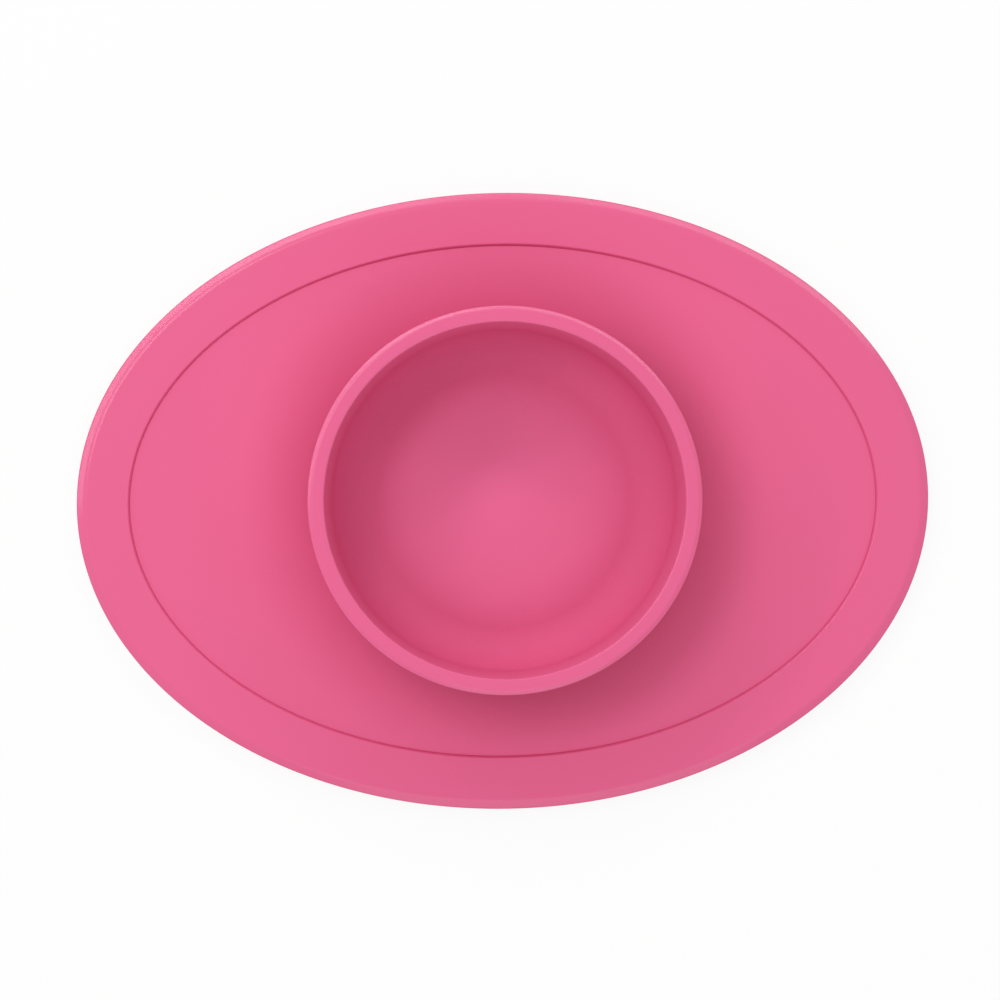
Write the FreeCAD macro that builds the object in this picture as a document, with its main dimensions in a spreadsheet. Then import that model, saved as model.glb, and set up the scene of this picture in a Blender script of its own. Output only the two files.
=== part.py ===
"""Suction bowl: a small feeding bowl moulded in one piece with its oval silicone placemat.

Millimetres, +Z up. The origin is the middle of the mat on the table, and +X runs along the mat.
The moulding is divided where its parts do different work:
  sealing_border  the outer rim of the mat, which lies on the table and seals against it
  placemat        the field inside the border, a small step lower and a little above the table
  bowl            the cup in the middle, with the disc of floor that it stands on
Pressing the bowl down empties the shallow suction chamber under the field and the bowl.
"""
import FreeCAD, Part
import os
import Sketcher

V = FreeCAD.Vector

SIZES = {
    # the mat's outline and section
    "mat_length": 206.0,
    "mat_width": 149.0,
    "mat_thickness": 4.0,
    "edge_slope": 2.05,
    "edge_drop": 0.83,
    "edge_blend": 3.1,
    "edge_round": 0.45,
    "heel_round": 0.5,
    # the border, whose top slopes down in a small step to the field
    "border_width": 12.85,
    "border_rise": 0.6,
    "step_slope": 0.5,
    "step_drop": 0.6,
    "step_round": 0.5,
    "flex_gap": 0.1,
    # the suction chamber under the field and the bowl
    "chamber_depth": 1.0,
    # the bowl, measured from its axis and from the table
    "bowl_height": 32.0,
    "rim_radius": 46.2,
    "rim_width": 3.9,
    "rim_slope": 1.0,
    "rim_drop": 0.45,
    "rim_blend": 1.2,
    "rim_round": 0.3,
    "rim_inner_round": 0.5,
    "wall_base_radius": 44.5,
    "wall_base_width": 4.1,
    "collar_width": 3.5,
    "foot_round": 2.4,
    "floor_thickness": 3.0,
    "floor_round": 10.3,
}

# Names for the formulas that several sub-parts share, written in the sheet's own names.
FOOT_RADIUS = "Sizes.wall_base_radius + Sizes.collar_width"
INNER_BASE_RADIUS = "Sizes.wall_base_radius - Sizes.wall_base_width"
FIELD_INSET = "2 * (Sizes.border_width + Sizes.flex_gap)"
FLOOR_HEIGHT = "Sizes.chamber_depth + Sizes.floor_thickness"
FIELD_THICKNESS = "Sizes.mat_thickness - Sizes.chamber_depth"
BORDER_TOP = "Sizes.mat_thickness + Sizes.border_rise"

CLOSE = 1e-4    # mm, how near an edge must lie to the place it is looked for


def make_sheet(doc):
    """Write the driving sizes into a spreadsheet, one alias for each."""
    sheet = doc.addObject("Spreadsheet::Sheet", "Sizes")
    for row, (alias, value) in enumerate(SIZES.items(), start=1):
        sheet.set(f"A{row}", alias.replace("_", " "))
        sheet.set(f"B{row}", str(value))
        sheet.setAlias(f"B{row}", alias)
    doc.recompute()
    return sheet


def make_body(doc, name):
    """An empty sub-part, whose label is the name of its file."""
    body = doc.addObject("PartDesign::Body", name)
    body.Label = name
    body.Placement = FreeCAD.Placement(V(0, 0, 0), FreeCAD.Rotation())
    return body


def make_sketch(body, name, role, height=None):
    """A sketch on one of the body's own planes, lifted to a height given as a formula."""
    sketch = body.newObject("Sketcher::SketchObject", name)
    plane = next(f for f in body.Origin.OriginFeatures if f.Role == role)
    sketch.AttachmentSupport = [(plane, "")]
    sketch.MapMode = "FlatFace"
    if height:
        sketch.setExpression(".AttachmentOffset.Base.z", height)
    return sketch


def bind(sketch, name, constraint, formula):
    """Add a dimension to a sketch and drive it from the sheet."""
    index = sketch.addConstraint(constraint)
    sketch.renameConstraint(index, name)
    sketch.setExpression("Constraints." + name, formula)


def oval_sketch(body, name, length, width, height):
    """An ellipse centred on the origin, its long axis on X, sized by two formulas."""
    sketch = make_sketch(body, name, "XY_Plane", height)
    half_length, half_width = SIZES["mat_length"] / 2, SIZES["mat_width"] / 2
    oval = sketch.addGeometry(Part.Ellipse(V(half_length, 0, 0), V(0, half_width, 0), V(0, 0, 0)))
    sketch.exposeInternalGeometry(oval)
    long_axis, short_axis = oval + 1, oval + 2
    sketch.addConstraint(Sketcher.Constraint("Coincident", oval, 3, -1, 1))
    sketch.addConstraint(Sketcher.Constraint("PointOnObject", long_axis, 1, -1))
    bind(sketch, "length", Sketcher.Constraint("Distance", long_axis, 2 * half_length), length)
    bind(sketch, "width", Sketcher.Constraint("Distance", short_axis, 2 * half_width), width)
    return sketch


def circle_sketch(body, name, radius, height):
    """A circle centred on the origin."""
    sketch = make_sketch(body, name, "XY_Plane", height)
    circle = sketch.addGeometry(Part.Circle(V(0, 0, 0), V(0, 0, 1), SIZES["rim_radius"]))
    sketch.addConstraint(Sketcher.Constraint("Coincident", circle, 3, -1, 1))
    bind(sketch, "radius", Sketcher.Constraint("Radius", circle, SIZES["rim_radius"]), radius)
    return sketch


def profile_sketch(body, name, corners):
    """A closed outline in the XZ plane, from (radius, height) formulas and starting values."""
    sketch = make_sketch(body, name, "XZ_Plane")
    points = [V(x, z, 0) for (x, z, _, _) in corners]
    count = len(points)
    for i in range(count):
        sketch.addGeometry(Part.LineSegment(points[i], points[(i + 1) % count]))
    for i in range(count):
        sketch.addConstraint(Sketcher.Constraint("Coincident", i, 2, (i + 1) % count, 1))
    for i, (x, z, radius, height) in enumerate(corners):
        if radius is None:
            sketch.addConstraint(Sketcher.Constraint("PointOnObject", i, 1, -2))
        else:
            bind(sketch, f"radius_{i}", Sketcher.Constraint("DistanceX", -1, 1, i, 1, x), radius)
        bind(sketch, f"height_{i}", Sketcher.Constraint("DistanceY", -1, 1, i, 1, z), height)
    return sketch


def pad(body, name, profile, length):
    """Raise a sketch upwards by a length given as a formula."""
    feature = body.newObject("PartDesign::Pad", name)
    feature.Profile = profile
    feature.setExpression("Length", length)
    return feature


def pocket_down(body, name, profile):
    """Cut a sketch that lies on top of the slab straight down through it."""
    before = body.Tip.Shape.Volume
    feature = body.newObject("PartDesign::Pocket", name)
    feature.Profile = profile
    feature.Type = "ThroughAll"
    feature.Reversed = False
    body.Document.recompute()
    if feature.Shape.Volume > before - 1:
        raise RuntimeError(f"{name} cut nothing")
    return feature


def level_edges(shape, height, x_length):
    """Names of the closed edges that lie flat at a height and span a length along X."""
    names = []
    for number, edge in enumerate(shape.Edges, start=1):
        box = edge.BoundBox
        flat = abs(box.ZMin - height) < CLOSE and abs(box.ZMax - height) < CLOSE
        if flat and abs(box.XLength - x_length) < CLOSE:
            names.append(f"Edge{number}")
    if not names:
        raise RuntimeError(f"no edge {x_length} long at height {height}")
    return names


def fillet(body, name, edges, radius):
    """Round some edges of the body's last feature."""
    base = body.Tip
    feature = body.newObject("PartDesign::Fillet", name)
    feature.Base = (base, edges)
    feature.setExpression("Radius", radius)
    body.Document.recompute()
    return feature


def slope(body, name, edges, across, down, opening=False):
    """Slope a top's margin down to its outer edge, or to an opening's edge, by two distances."""
    base = body.Tip
    feature = body.newObject("PartDesign::Chamfer", name)
    feature.Base = (base, edges)
    feature.ChamferType = "Two distances"
    feature.FlipDirection = opening
    feature.setExpression("Size", down)
    feature.setExpression("Size2", across)
    body.Document.recompute()
    return feature


def make_sealing_border(doc, sheet):
    """The rim of the mat: an oval ring, sloped at both margins, with a flat sealing face below."""
    body = make_body(doc, "sealing_border")
    outline = oval_sketch(body, "BorderOutline", "Sizes.mat_length", "Sizes.mat_width", "0 mm")
    pad(body, "BorderSlab", outline, BORDER_TOP)
    doc.recompute()
    inside = oval_sketch(body, "BorderInside",
                         "Sizes.mat_length - 2 * Sizes.border_width",
                         "Sizes.mat_width - 2 * Sizes.border_width", BORDER_TOP)
    pocket_down(body, "BorderOpening", inside)

    top = float(sheet.mat_thickness) + float(sheet.border_rise)
    length = float(sheet.mat_length)
    inner_length = length - 2 * float(sheet.border_width)
    edge_foot = top - float(sheet.edge_drop)
    edge_length = length - 2 * float(sheet.edge_slope)
    step_length = inner_length + 2 * float(sheet.step_slope)
    slope(body, "EdgeSlope", level_edges(body.Tip.Shape, top, length), "Sizes.edge_slope", "Sizes.edge_drop")
    slope(body, "StepSlope", level_edges(body.Tip.Shape, top, inner_length), "Sizes.step_slope",
          "Sizes.step_drop", opening=True)
    fillet(body, "EdgeRound", level_edges(body.Tip.Shape, edge_foot, length), "Sizes.edge_round")
    fillet(body, "EdgeBlend", level_edges(body.Tip.Shape, top, edge_length), "Sizes.edge_blend")
    fillet(body, "HeelRound", level_edges(body.Tip.Shape, 0, length), "Sizes.heel_round")
    fillet(body, "StepRound", level_edges(body.Tip.Shape, top, step_length), "Sizes.step_round")
    return body


def make_placemat(doc, sheet):
    """The field of the mat: an oval sheet above the suction chamber, with the bowl's round place."""
    body = make_body(doc, "placemat")
    outline = oval_sketch(body, "FieldOutline", f"Sizes.mat_length - {FIELD_INSET}",
                          f"Sizes.mat_width - {FIELD_INSET}", "Sizes.chamber_depth")
    pad(body, "FieldSheet", outline, FIELD_THICKNESS)
    doc.recompute()
    place = circle_sketch(body, "BowlPlace", FOOT_RADIUS, "Sizes.mat_thickness")
    pocket_down(body, "BowlOpening", place)
    return body


def make_bowl(doc, sheet):
    """The cup: a disc of floor, a wall that leans out a little, and a flat rim, sloped outside."""
    body = make_body(doc, "bowl")
    chamber, mat_top = SIZES["chamber_depth"], SIZES["mat_thickness"]
    wall_base, rim = SIZES["wall_base_radius"], SIZES["rim_radius"]
    foot, inner_rim = wall_base + SIZES["collar_width"], rim - SIZES["rim_width"]
    rim_top, rim_slope, rim_drop = SIZES["bowl_height"], SIZES["rim_slope"], SIZES["rim_drop"]
    floor = chamber + SIZES["floor_thickness"]
    inner_base = wall_base - SIZES["wall_base_width"]
    section = profile_sketch(body, "BowlSection", [
        (0, chamber, None, "Sizes.chamber_depth"),
        (foot, chamber, FOOT_RADIUS, "Sizes.chamber_depth"),
        (foot, mat_top, FOOT_RADIUS, "Sizes.mat_thickness"),
        (wall_base, mat_top, "Sizes.wall_base_radius", "Sizes.mat_thickness"),
        (rim, rim_top - rim_drop, "Sizes.rim_radius", "Sizes.bowl_height - Sizes.rim_drop"),
        (rim - rim_slope, rim_top, "Sizes.rim_radius - Sizes.rim_slope", "Sizes.bowl_height"),
        (inner_rim, rim_top, "Sizes.rim_radius - Sizes.rim_width", "Sizes.bowl_height"),
        (inner_base, floor, INNER_BASE_RADIUS, FLOOR_HEIGHT),
        (0, floor, None, FLOOR_HEIGHT),
    ])
    turned = body.newObject("PartDesign::Revolution", "BowlTurned")
    turned.Profile = section
    turned.ReferenceAxis = (section, ["V_Axis"])
    turned.Angle = 360
    doc.recompute()

    shape = body.Tip.Shape
    rim_height = float(sheet.bowl_height)
    rim_foot = rim_height - float(sheet.rim_drop)
    rim_outside = 2 * float(sheet.rim_radius)
    rim_flat = rim_outside - 2 * float(sheet.rim_slope)
    rim_inside = rim_outside - 2 * float(sheet.rim_width)
    fillet(body, "RimRound", level_edges(shape, rim_foot, rim_outside), "Sizes.rim_round")
    fillet(body, "RimBlend", level_edges(body.Tip.Shape, rim_height, rim_flat), "Sizes.rim_blend")
    fillet(body, "RimInnerRound", level_edges(body.Tip.Shape, rim_height, rim_inside),
           "Sizes.rim_inner_round")
    foot_edge = level_edges(body.Tip.Shape, float(sheet.mat_thickness), 2 * float(sheet.wall_base_radius))
    fillet(body, "FootCorner", foot_edge, "Sizes.foot_round")
    floor_height = float(sheet.chamber_depth) + float(sheet.floor_thickness)
    floor_outside = 2 * (float(sheet.wall_base_radius) - float(sheet.wall_base_width))
    floor_edge = level_edges(body.Tip.Shape, floor_height, floor_outside)
    fillet(body, "FloorCorner", floor_edge, "Sizes.floor_round")
    return body


def check(doc, bodies):
    """Stop if any object failed to compute or any sub-part is not one sound solid."""
    for item in doc.Objects:
        if "Invalid" in item.State or "Error" in item.State:
            raise RuntimeError(f"{item.Name} is {item.State}")
    for body in bodies:
        shape = body.Shape
        if shape.isNull() or not shape.isValid() or len(shape.Solids) != 1:
            raise RuntimeError(f"{body.Label} is not one sound solid")


def main():
    doc = FreeCAD.newDocument("SuctionBowl")
    sheet = make_sheet(doc)
    bodies = [make_sealing_border(doc, sheet), make_placemat(doc, sheet), make_bowl(doc, sheet)]
    doc.recompute()
    check(doc, bodies)

    os.makedirs("parts", exist_ok=True)
    for body in bodies:
        body.Shape.exportStep(f"parts/{body.Label}.step")
        box = body.Shape.BoundBox
        print(f"{body.Label:15s} {body.Shape.Volume / 1000:7.2f} cm3  "
              f"x {box.XMin:.2f} to {box.XMax:.2f}, y {box.YMin:.2f} to {box.YMax:.2f}, "
              f"z {box.ZMin:.2f} to {box.ZMax:.2f}")


main()
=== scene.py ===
# %% [markdown]
# # A suction bowl
#
# A first feeding bowl and its oval placemat, moulded together from one piece of pink silicone. The
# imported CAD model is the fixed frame: it says how large everything is and what moves. Here the plain
# solids get skins with the soft edges and the matte finish of the real moulding.
#
# The frame comes first, because every size below is read from it or fitted to it.

# %% Load the frame
import math

import bpy
import numpy as np
from mathutils import Matrix, Vector


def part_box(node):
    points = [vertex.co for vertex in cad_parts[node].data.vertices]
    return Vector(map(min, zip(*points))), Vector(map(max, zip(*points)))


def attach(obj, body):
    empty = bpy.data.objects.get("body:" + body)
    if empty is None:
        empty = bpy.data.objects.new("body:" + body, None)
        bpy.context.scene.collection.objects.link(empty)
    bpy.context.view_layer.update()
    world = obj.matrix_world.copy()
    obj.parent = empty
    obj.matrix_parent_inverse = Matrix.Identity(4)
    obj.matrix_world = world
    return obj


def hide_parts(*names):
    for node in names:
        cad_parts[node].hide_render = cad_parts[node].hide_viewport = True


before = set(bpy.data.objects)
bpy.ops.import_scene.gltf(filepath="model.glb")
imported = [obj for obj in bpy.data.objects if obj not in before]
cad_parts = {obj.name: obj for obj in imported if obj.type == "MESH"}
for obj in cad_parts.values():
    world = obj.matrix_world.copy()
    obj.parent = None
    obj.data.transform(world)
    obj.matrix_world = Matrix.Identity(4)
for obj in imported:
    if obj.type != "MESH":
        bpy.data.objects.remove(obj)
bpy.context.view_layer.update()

MM = 0.001

# %% [markdown]
# ## Sizes
#
# The boxes of the CAD nodes give the mat's outline, its thickness, the height of the suction chamber
# and the bowl's foot. The sizes inside those boxes, such as the width of the rim, are written here once.

# %% Sizes from the frame
border_low, border_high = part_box("sealing_border")
field_low, field_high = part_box("placemat")
bowl_low, bowl_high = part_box("bowl")

HALF_LENGTH = (border_high.x - border_low.x) / 2
HALF_WIDTH = (border_high.y - border_low.y) / 2
BORDER_TOP = border_high.z
FIELD_TOP = field_high.z
CHAMBER = field_low.z
FOOT_RADIUS = bowl_high.x
RIM_TOP = bowl_high.z

# %% Sizes of the moulding's own forms
BORDER_WIDTH = 12.85 * MM
EDGE_SLOPE = 2.05 * MM
EDGE_DROP = 0.83 * MM
EDGE_BLEND = 3.1 * MM
EDGE_ROUND = 0.45 * MM
HEEL_ROUND = 0.5 * MM
LIP_ROUND = 0.2 * MM
STEP_SLOPE = 0.5 * MM
STEP_DROP = 0.6 * MM
STEP_ROUND = 0.5 * MM
SEAM_ROUND = 0.05 * MM
SEAM_DEPTH = 0.3 * MM
RIM_RADIUS = 46.2 * MM
RIM_WIDTH = 3.9 * MM
RIM_SLOPE = 1.0 * MM
RIM_DROP = 0.45 * MM
RIM_BLEND = 1.2 * MM
RIM_ROUND = 0.3 * MM
RIM_INNER_ROUND = 0.5 * MM
WALL_BASE_RADIUS = 44.5 * MM
WALL_BASE_WIDTH = 4.1 * MM
FOOT_ROUND = 2.4 * MM
FLOOR_TOP = CHAMBER + 3.0 * MM
FLOOR_ROUND = 10.3 * MM
RIM_OVAL = 0.007

SEGMENTS = 256
ARC_STEP = 0.15 * MM
ARC_STEPS_LEAST, ARC_STEPS_MOST = 6, 30
SUPPORT = 0.25 * MM
SUPPORT_SHARE = 0.2

print(f"mat {2 * HALF_LENGTH / MM:.1f} by {2 * HALF_WIDTH / MM:.1f} mm")
print(f"rim {2 * RIM_RADIUS / MM:.1f} mm across, {(RIM_TOP - FIELD_TOP) / MM:.1f} mm above the field")

# %% [markdown]
# ## Sections
#
# A moulding is drawn best by its section: a few corners, each with the radius that the mould maker
# gave it. The helper below turns corners into a smooth path. It also keeps a point close to each end
# of an arc, so that the soft shading of a round edge doesn't spread on to the flat beside it. A bevel
# modifier could round the edges too, but it would give them all one radius.

# %% A path with rounded corners
def unit(vector):
    return vector / np.hypot(*vector)


def rounded_path(corners, closed):
    """Points along a polygon of (across, height, radius) corners, with arcs in its corners."""
    path = []
    count = len(corners)
    for i, (across, height, radius) in enumerate(corners):
        here = np.array([across, height])
        if radius == 0 or (not closed and i in (0, count - 1)):
            path.append(here)
            continue
        before = np.array(corners[i - 1][:2]) - here
        after = np.array(corners[(i + 1) % count][:2]) - here
        support = min(SUPPORT, SUPPORT_SHARE * np.hypot(*before), SUPPORT_SHARE * np.hypot(*after))
        before, after = unit(before), unit(after)
        half_angle = math.acos(np.clip(before @ after, -1, 1)) / 2
        reach = radius / math.tan(half_angle)
        centre = here + unit(before + after) * radius / math.sin(half_angle)
        start, end = here + before * reach - centre, here + after * reach - centre
        sweep = math.atan2(start[0] * end[1] - start[1] * end[0], start @ end)
        steps = int(np.clip(abs(sweep) * radius / ARC_STEP, ARC_STEPS_LEAST, ARC_STEPS_MOST))
        path.append(here + before * (reach + support))
        for k in range(steps + 1):
            turn = sweep * k / steps
            cos, sin = math.cos(turn), math.sin(turn)
            turned = np.array([cos * start[0] - sin * start[1], sin * start[0] + cos * start[1]])
            path.append(centre + turned)
        path.append(here + after * (reach + support))
    return path


# %% [markdown]
# ## Rings
#
# Every skin is a stack of rings. Near the edge of the mat a ring runs parallel to the oval outline,
# which is the outline moved inwards along its own normals, so the fine line keeps one distance from
# the edge all round. In the bowl a ring is a circle. A ring of the flat field lies between the two.

# %% Rings of the mat and of the bowl
turns = np.arange(SEGMENTS) * 2 * math.pi / SEGMENTS
outline = np.stack([HALF_LENGTH * np.cos(turns), HALF_WIDTH * np.sin(turns)], axis=1)
inward = -np.stack([HALF_WIDTH * np.cos(turns), HALF_LENGTH * np.sin(turns)], axis=1)
inward /= np.linalg.norm(inward, axis=1, keepdims=True)


def oval_ring(inset):
    return outline + inward * inset


rays = oval_ring(BORDER_WIDTH)
rays /= np.linalg.norm(rays, axis=1, keepdims=True)


def round_ring(radius, height=0.0):
    """A circle, or near the free rim of the soft wall very slightly an oval."""
    rise = np.clip((height - FIELD_TOP) / (RIM_TOP - FIELD_TOP), 0, 1)
    return rays * radius * np.array([1 + RIM_OVAL * rise, 1 - RIM_OVAL * rise])


FIELD_SHARES = [0.2, 0.4, 0.6, 0.8]
FIELD_EDGE = BORDER_WIDTH + 1 * MM


def field_ring(share):
    """A ring of the flat field, from the bowl's foot (0) to near the border (1)."""
    return round_ring(FOOT_RADIUS) * (1 - share) + oval_ring(FIELD_EDGE) * share


def skin(name, rings, closed):
    """A mesh from (xy ring, height) pairs. An open stack of rings is shut by a point at each end."""
    heights = [height for _, height in rings]
    verts = [(x, y, height) for ring, height in rings for x, y in ring]
    faces = []
    bands = len(rings) if closed else len(rings) - 1
    for band in range(bands):
        low, high = band * SEGMENTS, (band + 1) % len(rings) * SEGMENTS
        for k in range(SEGMENTS):
            following = (k + 1) % SEGMENTS
            faces.append((low + k, low + following, high + following, high + k))
    if not closed:
        last = (len(rings) - 1) * SEGMENTS
        first_pole, last_pole = len(verts), len(verts) + 1
        verts += [(0, 0, heights[0]), (0, 0, heights[-1])]
        for k in range(SEGMENTS):
            following = (k + 1) % SEGMENTS
            faces.append((following, k, first_pole))
            faces.append((last + k, last + following, last_pole))
    mesh = bpy.data.meshes.new(name)
    mesh.from_pydata(verts, [], faces)
    mesh.validate()
    mesh.shade_smooth()
    piece = bpy.data.objects.new(name, mesh)
    bpy.context.scene.collection.objects.link(piece)
    print(f"{name}: {len(verts)} vertices, {len(faces)} faces")
    return piece


# %% [markdown]
# ## The sealing border
#
# The outer 13 mm of the mat, which lies on the table and seals. Its top slopes off by 2 mm to a small
# round edge, soft for a child's arm, and that slope catches the light all along the mat. Its lower edge
# is nearly sharp, so that no air gets under it. On its inner side it steps down by 0.6 mm to the field,
# and the step is the fine line. A groove could draw a line too, but a groove shades on both its sides.

# %% Border
border_path = rounded_path([
    (BORDER_WIDTH, 0, LIP_ROUND),
    (BORDER_WIDTH, BORDER_TOP - STEP_DROP, 0),
    (BORDER_WIDTH - STEP_SLOPE, BORDER_TOP, STEP_ROUND),
    (EDGE_SLOPE, BORDER_TOP, EDGE_BLEND),
    (0, BORDER_TOP - EDGE_DROP, EDGE_ROUND),
    (0, 0, HEEL_ROUND),
], closed=True)
border = skin("soft_border", [(oval_ring(inset), height) for inset, height in border_path], closed=True)

# %% [markdown]
# ## The bowl and the field
#
# Bowl and field are one unbroken skin: it starts in the middle of the bowl's floor, climbs the inside,
# goes over the rim, down the outside and over the field, turns down at the foot of the fine line and
# comes back underneath, over the suction chamber. The soft wall has shrunk a little less along the mat
# than across it, so its rim is an oval by less than 1 %, which `round_ring` brings in with the height.

# %% Bowl with its field
FLOOR_MIDDLE = 1 * MM
UNDERSIDE_SHARES = [1.0, 0.7, 0.4, 0.05]

inner_rim = RIM_RADIUS - RIM_WIDTH
inner_base = WALL_BASE_RADIUS - WALL_BASE_WIDTH
bowl_path = rounded_path([
    (FLOOR_MIDDLE, FLOOR_TOP, 0),
    (inner_base, FLOOR_TOP, FLOOR_ROUND),
    (inner_rim, RIM_TOP, RIM_INNER_ROUND),
    (RIM_RADIUS - RIM_SLOPE, RIM_TOP, RIM_BLEND),
    (RIM_RADIUS, RIM_TOP - RIM_DROP, RIM_ROUND),
    (WALL_BASE_RADIUS, FIELD_TOP, FOOT_ROUND),
    (FOOT_RADIUS, FIELD_TOP, 0),
], closed=False)
seam_path = rounded_path([
    (FIELD_EDGE, FIELD_TOP, 0),
    (BORDER_WIDTH, FIELD_TOP, SEAM_ROUND),
    (BORDER_WIDTH, FIELD_TOP - SEAM_DEPTH, 0),
], closed=False)
rings = [(round_ring(radius, height), height) for radius, height in bowl_path]
rings += [(field_ring(share), FIELD_TOP) for share in FIELD_SHARES]
rings += [(oval_ring(inset), height) for inset, height in seam_path]
rings += [(oval_ring(BORDER_WIDTH), CHAMBER), (oval_ring(BORDER_WIDTH + SUPPORT), CHAMBER)]
rings += [(field_ring(share), CHAMBER) for share in reversed(FIELD_SHARES)]
rings += [(round_ring(FOOT_RADIUS * share), CHAMBER) for share in UNDERSIDE_SHARES]
cup = skin("bowl_with_field", rings, closed=False)

# %% [markdown]
# ## Compression-moulded silicone
#
# Silicone rubber filled with pigment: opaque, saturated, and soft to the eye. The outer half of the
# mould is honed and the core that presses the inside of the bowl is blasted, so the outer face has a low
# satin gloss, and the inner face has hardly any. The inner face also gets a duller, slightly darker pink
# of its own, which is painted shade for the inside of the bowl. Fine dust clings to silicone and takes
# off a part of the mirror light, which `Specular IOR Level` says. A very fine grain comes from a noise
# bump: 0.35 mm is coarser than the grit of the mould, so that it shows.
#
# The corners are shaded in paint: an ambient occlusion node finds the nooks within 20 mm and moves the
# colour from the open pink to a deep pink there. This is painted shade, laid over the shading of the
# lamps, so that the corners of the bowl, the mat round its foot and the foot of the fine line look a
# deeper pink and not a greyer one.

# %% Colours and nodes
def linear(hex_colour):
    """An sRGB hex colour as linear RGBA."""
    channels = [int(hex_colour[i:i + 2], 16) / 255 for i in (1, 3, 5)]
    return [c / 12.92 if c <= 0.04045 else ((c + 0.055) / 1.055) ** 2.4 for c in channels] + [1]


def add_node(tree, kind, settings=(), inputs=(), links=()):
    """Add a node, set its properties and sockets, and link sockets of other nodes into it."""
    node = tree.nodes.new(kind)
    for name, value in dict(settings).items():
        setattr(node, name, value)
    for name, value in dict(inputs).items():
        node.inputs[name].default_value = value
    for name, output in dict(links).items():
        tree.links.new(output, node.inputs[name])
    return node


# Open pink is the silicone's own colour; the deep pink is painted shade, laid into the nooks.
OPEN_PINK, PAINTED_SHADE_PINK = "#ed6695", "#ba1e58"
# A duller, darker pair for the inside of the bowl: painted shade there, on top of the painted nooks.
INNER_SHADED_PINK, INNER_PAINTED_SHADE_PINK = "#e96f9c", "#be205e"
SILICONE_IOR = 1.41
# Reach and ray count of the painted shade in the nooks.
PAINTED_SHADE_REACH = 20 * MM
PAINTED_SHADE_RAYS = 8
GRAIN = 0.35 * MM
GRAIN_DEPTH = 0.02 * MM
GRAIN_STRENGTH = 0.3
POLISH_PATCH = 12 * MM
POLISH_SPREAD = 0.05


def moulded_silicone(name, roughness, gloss, open_pink, painted_shade_pink):
    """Pigmented silicone, as rough as the face of the mould that it was pressed against, with painted
    shade in its nooks.
    """
    material = bpy.data.materials.new(name)
    material.use_nodes = True
    tree = material.node_tree
    tree.nodes.clear()
    place = add_node(tree, "ShaderNodeTexCoord").outputs["Object"]
    grain = add_node(tree, "ShaderNodeTexNoise", inputs={"Scale": 1 / GRAIN, "Detail": 2},
                     links={"Vector": place})
    bump = add_node(tree, "ShaderNodeBump",
                    inputs={"Strength": GRAIN_STRENGTH, "Distance": GRAIN_DEPTH},
                    links={"Height": grain.outputs["Fac"]})
    patches = add_node(tree, "ShaderNodeTexNoise", inputs={"Scale": 1 / POLISH_PATCH, "Detail": 1},
                       links={"Vector": place})
    rough = add_node(tree, "ShaderNodeMapRange",
                     inputs={"To Min": roughness - POLISH_SPREAD, "To Max": roughness + POLISH_SPREAD},
                     links={"Value": patches.outputs["Fac"]})
    # Painted shade: the occlusion moves the colour towards the deep pink in nooks and corners.
    painted_nook_shade = add_node(tree, "ShaderNodeAmbientOcclusion", {"samples": PAINTED_SHADE_RAYS},
                    {"Distance": PAINTED_SHADE_REACH})
    colour = add_node(tree, "ShaderNodeMixRGB",
                      inputs={"Color1": linear(painted_shade_pink), "Color2": linear(open_pink)},
                      links={"Fac": painted_nook_shade.outputs["AO"]})
    shader = add_node(tree, "ShaderNodeBsdfPrincipled",
                      inputs={"IOR": SILICONE_IOR, "Specular IOR Level": gloss},
                      links={"Base Color": colour.outputs["Color"], "Roughness": rough.outputs[0],
                             "Normal": bump.outputs["Normal"]})
    add_node(tree, "ShaderNodeOutputMaterial", links={"Surface": shader.outputs["BSDF"]})
    return material


outer_finish = moulded_silicone("compression_moulded_silicone", roughness=0.16, gloss=0.35,
                                open_pink=OPEN_PINK, painted_shade_pink=PAINTED_SHADE_PINK)
# The inner finish carries a darker, duller pink, which is painted shade for the inside of the bowl.
inner_finish_and_shade = moulded_silicone("blasted_core_silicone_painted_shade", roughness=0.5, gloss=0.1,
                                open_pink=INNER_SHADED_PINK, painted_shade_pink=INNER_PAINTED_SHADE_PINK)

# %% [markdown]
# The border has the satin finish all over. The bowl with its field has both, and the matte one covers the
# faces of the cup that lie inside the rim, from the floor up to where the rim's inner edge starts to
# round. Both pieces ride on the bodies that they show, and take the place of the CAD solids there.

# %% Finishes, slots and bodies
border.data.materials.append(outer_finish)
cup.data.materials.append(outer_finish)
cup.data.materials.append(inner_finish_and_shade)
INNER_SLOT = 1
for face in cup.data.polygons:
    within_rim = face.center.xy.length < RIM_RADIUS - RIM_WIDTH / 2
    if within_rim and CHAMBER < face.center.z < RIM_TOP - RIM_INNER_ROUND:
        face.material_index = INNER_SLOT

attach(border, "border")
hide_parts("sealing_border")
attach(cup, "bowl_and_field")
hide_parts("placemat", "bowl")

# %% [markdown]
# ## Studio
#
# A white sweep, a bright even room and five soft boxes. The room gives about half of the light that the
# flat mat gets. Overhead, key and side box stand together at the upper left and throw the bowl's soft
# shadow to the lower right, and a large weak box in front opens it.
#
# Key, side and back box are low strips with a second task. The edge of the mat slopes by 22 degrees and
# the rim by 24, so from above they mirror whatever stands about 40 degrees high behind them. The three
# strips stand there in a row, and draw the thin bright line along the far edge of the mat and the rim.
#
# The floor and the room are plain white to the rays that look at them, so the sweep has no horizon. The
# floor keeps a share of its own shading for the shadow. It lies a hair below the mat, because two faces
# at the same height flicker.

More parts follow.
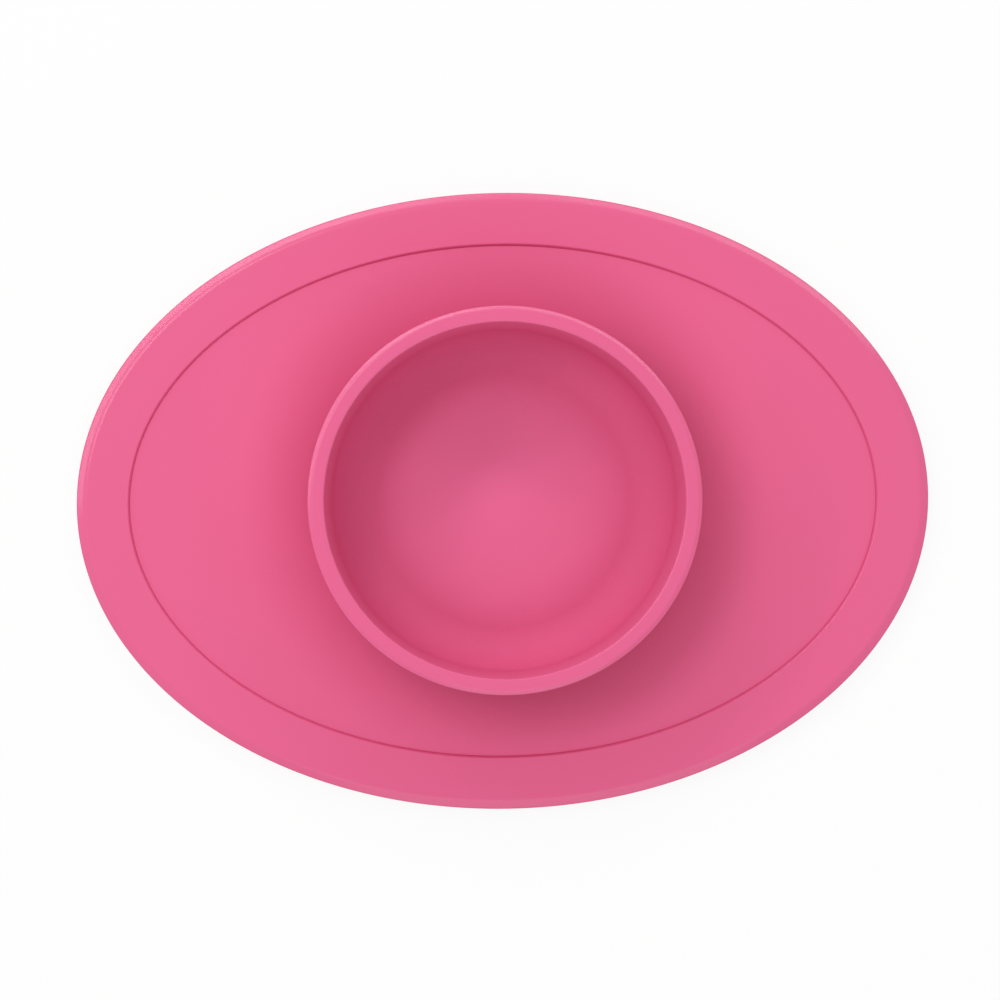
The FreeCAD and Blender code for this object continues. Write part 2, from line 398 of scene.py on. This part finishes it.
# %% Floor and world
def seen_directly(tree):
    """1 for the rays that look at a surface, straight or by way of a gloss or a clear body, else 0."""
    path = add_node(tree, "ShaderNodeLightPath")
    mirrored = add_node(tree, "ShaderNodeMath", {"operation": "MAXIMUM"},
                        links={0: path.outputs["Is Camera Ray"], 1: path.outputs["Is Glossy Ray"]})
    seen = add_node(tree, "ShaderNodeMath", {"operation": "MAXIMUM"},
                    links={0: mirrored.outputs[0], 1: path.outputs["Is Transmission Ray"]})
    return seen.outputs[0]


WHITE = linear("#ffffff")


def white_where_seen(tree, shade, share):
    """Show some of a surface's own light, and white for the rest, to the rays that look at it."""
    seen = add_node(tree, "ShaderNodeMath", {"operation": "MULTIPLY"}, {1: share},
                    {0: seen_directly(tree)})
    white = add_node(tree, "ShaderNodeEmission", inputs={"Color": WHITE, "Strength": 1})
    mix = add_node(tree, "ShaderNodeMixShader", links={0: seen.outputs[0]})
    tree.links.new(shade, mix.inputs[1])
    tree.links.new(white.outputs[0], mix.inputs[2])
    return mix.outputs[0]


FLOOR_SIZE = 6.0
FLOOR_GAP = 0.02 * MM
PAPER_WHITE = linear("#f9f9f9")
WHITE_SHARE = 0.9

bpy.ops.mesh.primitive_plane_add(size=FLOOR_SIZE, location=(0, 0, -FLOOR_GAP))
floor = bpy.context.object
floor.name = "white_floor"
paper = bpy.data.materials.new("white_paper")
paper.use_nodes = True
paper.node_tree.nodes.clear()
matte = add_node(paper.node_tree, "ShaderNodeBsdfDiffuse", inputs={"Color": PAPER_WHITE})
add_node(paper.node_tree, "ShaderNodeOutputMaterial",
         links={"Surface": white_where_seen(paper.node_tree, matte.outputs[0], WHITE_SHARE)})
floor.data.materials.append(paper)

ROOM_LIGHT = 0.48
world = bpy.data.worlds.new("bright_room")
world.use_nodes = True
tree = world.node_tree
tree.nodes.clear()
strength = add_node(tree, "ShaderNodeMapRange", inputs={"To Min": ROOM_LIGHT, "To Max": 1.0},
                    links={"Value": seen_directly(tree)})
room = add_node(tree, "ShaderNodeBackground", inputs={"Color": WHITE},
                links={"Strength": strength.outputs[0]})
add_node(tree, "ShaderNodeOutputWorld", links={"Surface": room.outputs[0]})
bpy.context.scene.world = world

# %% [markdown]
# A lamp is easier to judge by what it gives than by its watts. Each box is therefore set by its share
# of the light on the flat mat, and the watts follow from its distance and its height angle. A bearing
# counts from the right-hand end of the mat, anticlockwise as seen from above, in degrees.

# %% Soft boxes
LAMP_DISTANCE = 1.25
STRIP_ANGLE = 38


def soft_box(name, share, bearing, height_angle, width, height):
    """An area light on a circle round the bowl, turned to face it, that gives a share of the light."""
    bearing, height_angle = math.radians(bearing), math.radians(height_angle)
    lamp = bpy.data.lights.new(name, "AREA")
    lamp.shape = "RECTANGLE"
    lamp.size, lamp.size_y = width, height
    lamp.energy = share * (math.pi * LAMP_DISTANCE) ** 2 / math.sin(height_angle)
    holder = bpy.data.objects.new(name, lamp)
    bpy.context.scene.collection.objects.link(holder)
    across = LAMP_DISTANCE * math.cos(height_angle)
    holder.location = (across * math.cos(bearing), across * math.sin(bearing),
                       LAMP_DISTANCE * math.sin(height_angle))
    holder.rotation_euler = (-holder.location).to_track_quat("-Z", "Y").to_euler()
    print(f"{name}: {lamp.energy:.1f} W")


soft_box("key", share=0.105, bearing=116, height_angle=STRIP_ANGLE, width=0.85, height=0.14)
soft_box("overhead", share=0.155, bearing=142, height_angle=64, width=0.5, height=0.4)
soft_box("side", share=0.055, bearing=160, height_angle=STRIP_ANGLE, width=0.7, height=0.14)
soft_box("back", share=0.08, bearing=63, height_angle=STRIP_ANGLE, width=1.1, height=0.13)
soft_box("fill", share=0.12, bearing=276, height_angle=48, width=0.8, height=0.8)

# %% [markdown]
# ## Camera
#
# A long lens looks down on the mat from a metre up, about two centimetres to the left of its middle. The
# wall of the bowl leans in under its rim, so from there no part of its outside shows. The length of the
# lens follows from the width that the frame takes in at the height of the mat.

# %% Camera
FRAME_WIDTH = 242.2 * MM
CAMERA_PLACE = Vector((-0.01776, -0.00346, 1.05))
AIM = Vector((-0.00073, 0.0002, 0.002))
ROLL = math.radians(-0.95)

lens_data = bpy.data.cameras.new("camera")
camera = bpy.data.objects.new("camera", lens_data)
bpy.context.scene.collection.objects.link(camera)
back = (CAMERA_PLACE - AIM).normalized()
side = Vector((math.cos(ROLL), math.sin(ROLL), 0))
side = (side - back * side.dot(back)).normalized()
turned = Matrix((side, back.cross(side), back)).transposed().to_4x4()
camera.matrix_world = Matrix.Translation(CAMERA_PLACE) @ turned
lens_data.lens = lens_data.sensor_width * (CAMERA_PLACE - AIM).length / FRAME_WIDTH
print(f"lens {lens_data.lens:.0f} mm")
bpy.context.scene.camera = camera
bpy.context.scene.view_settings.view_transform = "Standard"
